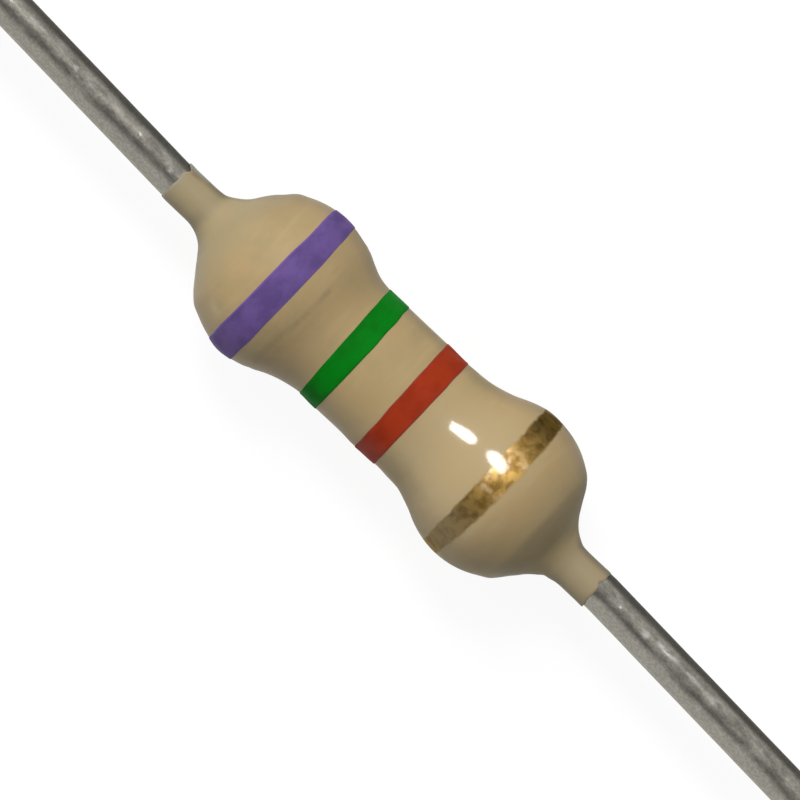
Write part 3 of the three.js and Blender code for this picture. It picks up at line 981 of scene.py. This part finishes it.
def capMaterial():
    material, tree, shader, place = startMaterial("pressedSteel", onSolid=True, **{"Metallic": 1.0})
    body = placeGroup(tree, cloudyTone, {
        "Place": place, "Stretch": (0.5, 6, 6), "Scale": 2.5, "Low": 0.35, "High": 0.7,
        "Tone": (0.5, 0.48, 0.44, 1), "Cloud": (0.62, 0.6, 0.55, 1)})
    plug(tree, body["Colour"], shader["Base Color"])
    plug(tree, stepBetween(tree, body["Mask"], 0, 1, 0.28, 0.45), shader["Roughness"])
    addBump(tree, body["Mask"], 0.003, shader)
    return material


steel = capMaterial()
hidden = {
    "ceramic_rod": ceramicMaterial(),
    "carbon_film": carbonMaterial(),
    "end_cap_left": steel,
    "end_cap_right": steel,
}
for node, material in hidden.items():
    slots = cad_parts[node].material_slots
    if not slots:
        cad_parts[node].data.materials.append(material)
    for slot in slots:
        slot.material = material
print("rod, film and caps have their finishes")


# floor, light and camera

studio = {
    "floorSize": 4.0,
    "floorTone": (0.44, 0.44, 0.44, 1),  # what the floor throws back at the part
    "shownTone": (0.1, 0.1, 0.1, 1),     # with the glow, the open floor shows white and keeps a shadow
    "shownGlow": 0.922,
    "sky": 0.28,                         # what the surroundings give the part
    "lamps": {
        "softbox": {"way": (-0.473, 0.385, 0.793), "distance": 1.0, "shape": "ELLIPSE", "size": (0.54, 0.27),
                    "shift": (0.02, 0.0), "roll": -16, "power": 4.5, "mirrored": True},
        "corner": {"way": (-0.473, 0.385, 0.793), "distance": 1.0, "shape": "RECTANGLE", "size": (0.24, 0.25),
                   "shift": (0.2, -0.01), "roll": -16, "power": 2.1, "mirrored": True},
        "window": {"way": (-0.9, 0.1, 0.42), "distance": 1.3, "shape": "RECTANGLE", "size": (1.2, 1.2),
                   "shift": (0.0, 0.0), "roll": 0, "power": 4.7, "mirrored": False},
        "fill": {"way": (-0.25, -0.75, 0.6), "distance": 1.2, "shape": "RECTANGLE", "size": (1.0, 1.0),
                 "shift": (0.0, 0.0), "roll": 0, "power": 1.05, "mirrored": False},
    },
    "aim": (0.2365, -0.049),             # the middle of the view, in millimetres
    "framed": 10.434,                    # millimetres across the view
    "cameraTurn": 43.38,
    "cameraHeight": 0.25,
    "sensor": 36,
    "clip": (0.01, 20),
}


def seenDirectly(tree):
    rays = addNode(tree, "ShaderNodeLightPath")
    either = reckon(tree, "MAXIMUM", rays.outputs["Is Camera Ray"], rays.outputs["Is Glossy Ray"])
    return reckon(tree, "MAXIMUM", either, rays.outputs["Is Transmission Ray"])


def addFloor():
    half = studio["floorSize"] / 2
    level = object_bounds()[0][2]
    mesh = bpy.data.meshes.new("floor")
    corners = [(x * half, y * half, level) for x, y in ((-1, -1), (1, -1), (1, 1), (-1, 1))]
    mesh.from_pydata(corners, [], [(0, 1, 2, 3)])
    floor = bpy.data.objects.new("floor", mesh)
    bpy.context.scene.collection.objects.link(floor)
    material = bpy.data.materials.new("whiteTable")
    material.use_nodes = True
    tree = material.node_tree
    tree.nodes.clear()
    card = addNode(tree, "ShaderNodeBsdfDiffuse", {"Color": studio["floorTone"]})
    shown = addNode(tree, "ShaderNodeBsdfDiffuse", {"Color": studio["shownTone"]})
    glow = addNode(tree, "ShaderNodeEmission", {"Strength": studio["shownGlow"]})
    bright = addNode(tree, "ShaderNodeAddShader", {0: shown.outputs[0], 1: glow.outputs[0]})
    either = addNode(tree, "ShaderNodeMixShader", {
        0: seenDirectly(tree), 1: card.outputs[0], 2: bright.outputs[0]})
    addNode(tree, "ShaderNodeOutputMaterial", {"Surface": either.outputs[0]})
    mesh.materials.append(material)


def addWorld():
    world = bpy.data.worlds.new("paleRoom")
    bpy.context.scene.world = world
    world.use_nodes = True
    tree = world.node_tree
    values = {"Value": seenDirectly(tree), "To Min": studio["sky"], "To Max": 1.0}
    strength = addNode(tree, "ShaderNodeMapRange", values)
    background = tree.nodes["Background"]
    background.inputs["Color"].default_value = (1, 1, 1, 1)
    plug(tree, strength.outputs[0], background.inputs["Strength"])


def addLamp(name, values):
    light = bpy.data.lights.new(name, "AREA")
    light.shape = values["shape"]
    light.size, light.size_y = values["size"]
    light.energy = values["power"]
    lamp = bpy.data.objects.new(name, light)
    away = Vector(values["way"]).normalized()
    across = (Vector((1, 0, 0)) - away * away.x).normalized()  # its width runs with the part
    rolled = Matrix.Rotation(math.radians(values["roll"]), 3, away) @ across
    upward = away.cross(rolled)
    along, aside = values["shift"]
    lamp.matrix_world = Matrix((rolled, upward, away)).transposed().to_4x4()
    lamp.location = away * values["distance"] + rolled * along + upward * aside
    lamp.visible_glossy = values["mirrored"]
    bpy.context.scene.collection.objects.link(lamp)


def addCamera():
    lens = bpy.data.cameras.new("camera")
    lens.sensor_width = studio["sensor"]
    lens.lens = studio["sensor"] * studio["cameraHeight"] / (studio["framed"] * mm)
    lens.clip_start, lens.clip_end = studio["clip"]
    camera = bpy.data.objects.new("camera", lens)
    across, up = studio["aim"]
    camera.location = (across * mm, up * mm, studio["cameraHeight"])
    camera.rotation_euler = (0, 0, math.radians(studio["cameraTurn"]))
    bpy.context.scene.collection.objects.link(camera)
    bpy.context.scene.camera = camera


addFloor()
addWorld()
for lampName, values in studio["lamps"].items():
    addLamp(lampName, values)
addCamera()
bpy.context.scene.view_settings.view_transform = "Standard"
print("floor, light and camera are set")
